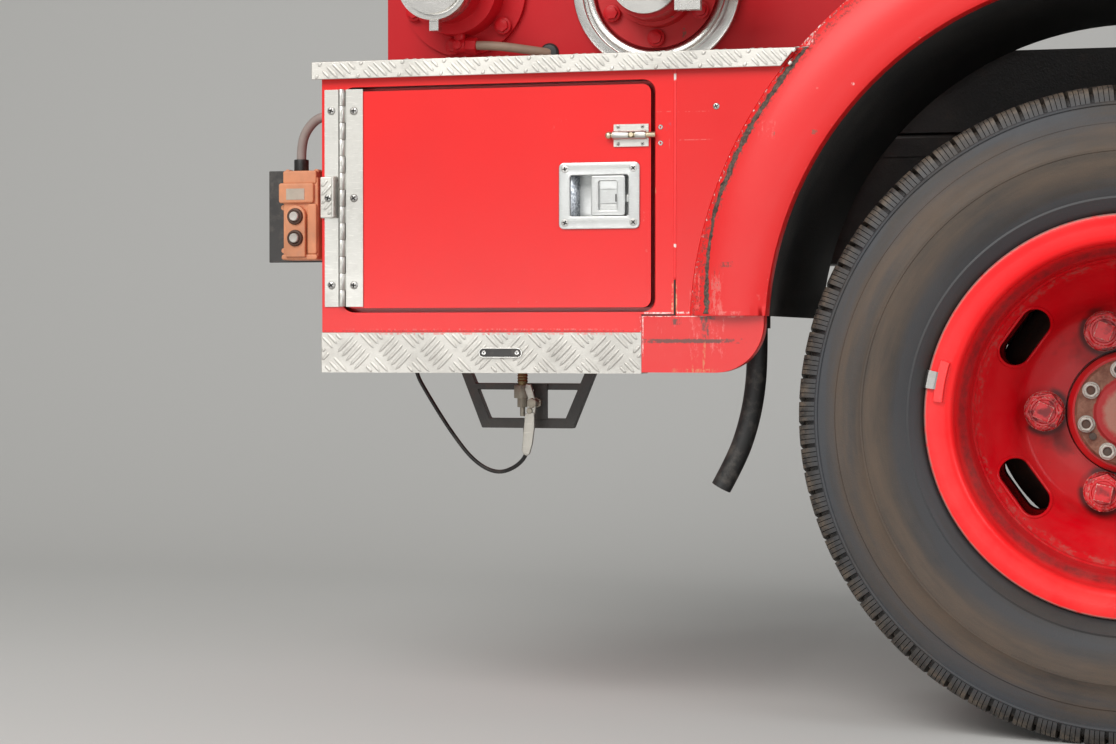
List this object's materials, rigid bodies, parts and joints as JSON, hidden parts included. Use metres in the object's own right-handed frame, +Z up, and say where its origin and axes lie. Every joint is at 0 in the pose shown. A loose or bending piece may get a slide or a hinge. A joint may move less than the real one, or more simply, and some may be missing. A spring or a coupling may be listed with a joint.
{
  "type": "side section of a fire engine",
  "caption": "Side section of a fire engine with an equipment locker, tread-plate shelf, wheel arch and twin rear wheel on a length of chassis rail.",
  "frame": {"origin": "centre of the bolt rectangle on the inboard face of the chassis rail's web, straight above the axle", "axes": "+X to the rear of the vehicle, +Y inboard, out of the rail's web, +Z up"},
  "size_m": [1.702, 0.707, 1.0574],
  "materials": {
    "red_paint": "gloss enamel, chipped",
    "chassis_black": "dusty satin black",
    "tread_plate": "rolled five-bar pattern",
    "satin_metal": "dull satin",
    "bright_trim": "satin bright",
    "brass_cock": "dull, dusty",
    "black_rubber": "matt",
    "grey_sheath": "dusty grey sheath",
    "orange_plastic": "moulded, faded",
    "grey_plastic": "satin",
    "tyre_rubber": "dusty",
    "rusty_steel": "surface rust"
  },
  "bodies": {
    "root": {"chassis_rail": "chassis_black", "subframe": "chassis_black", "body_crossmembers": "chassis_black", "body_floor": "red_paint", "outriggers": "chassis_black", "locker_box": "red_paint", "locker_face": "red_paint", "door_stop": "black_rubber", "side_panel": "red_paint", "corner_panel": "red_paint", "quarter_panel": "red_paint", "arch_flare": "red_paint", "arch_liner": "chassis_black", "bay_wall": "red_paint", "shelf_plate": "tread_plate", "sill_beam": "red_paint", "sill_plate": "tread_plate", "hinge_fixed_leaf": "satin_metal", "hinge_pin": "satin_metal", "door_stop_clip": "tread_plate", "suction_port": "red_paint", "suction_ring": "bright_trim", "suction_cap": "satin_metal", "delivery_port": "red_paint", "delivery_cap": "satin_metal", "drain_bracket": "chassis_black", "drain_cock": "brass_cock", "drain_lever": "satin_metal", "cable_fittings": "black_rubber", "drain_cable": "black_rubber", "hose_spout": "black_rubber", "drain_hose": "black_rubber", "pendant_plate": "chassis_black", "pendant_body": "orange_plastic", "pendant_buttons": "grey_plastic", "lead_gland": "black_rubber", "pendant_lead": "grey_sheath", "leaf_spring": "chassis_black", "spring_seat": "chassis_black", "spring_u_bolts": "chassis_black", "spring_hanger": "chassis_black", "rear_shackle": "chassis_black", "axle_tube": "chassis_black", "backing_plate": "chassis_black"},
    "locker_door": {"door": "red_paint", "hinge_door_leaf": "satin_metal", "latch_body": "satin_metal", "latch_paddle": "satin_metal", "bolt_base": "satin_metal", "bolt_rod": "satin_metal"},
    "wheel": {"tyre_outer": "tyre_rubber", "tyre_inner": "tyre_rubber", "wheel_outer": "red_paint", "wheel_inner": "red_paint", "wheel_nuts": "red_paint", "hub": "chassis_black", "brake_drum": "chassis_black", "half_shaft": "rusty_steel"}
  },
  "joints": [
    {"name": "door_hinge", "type": "hinge", "parent": "root", "child": "locker_door", "pos_m": [-0.92, -0.584, -0.023], "axis": [0, 0, -1], "range_deg": [0, 95]},
    {"name": "wheel_spin", "type": "hinge", "parent": "root", "child": "wheel", "pos_m": [0, -0.34, -0.28], "axis": [0, 1, 0], "continuous": true}
  ]
}
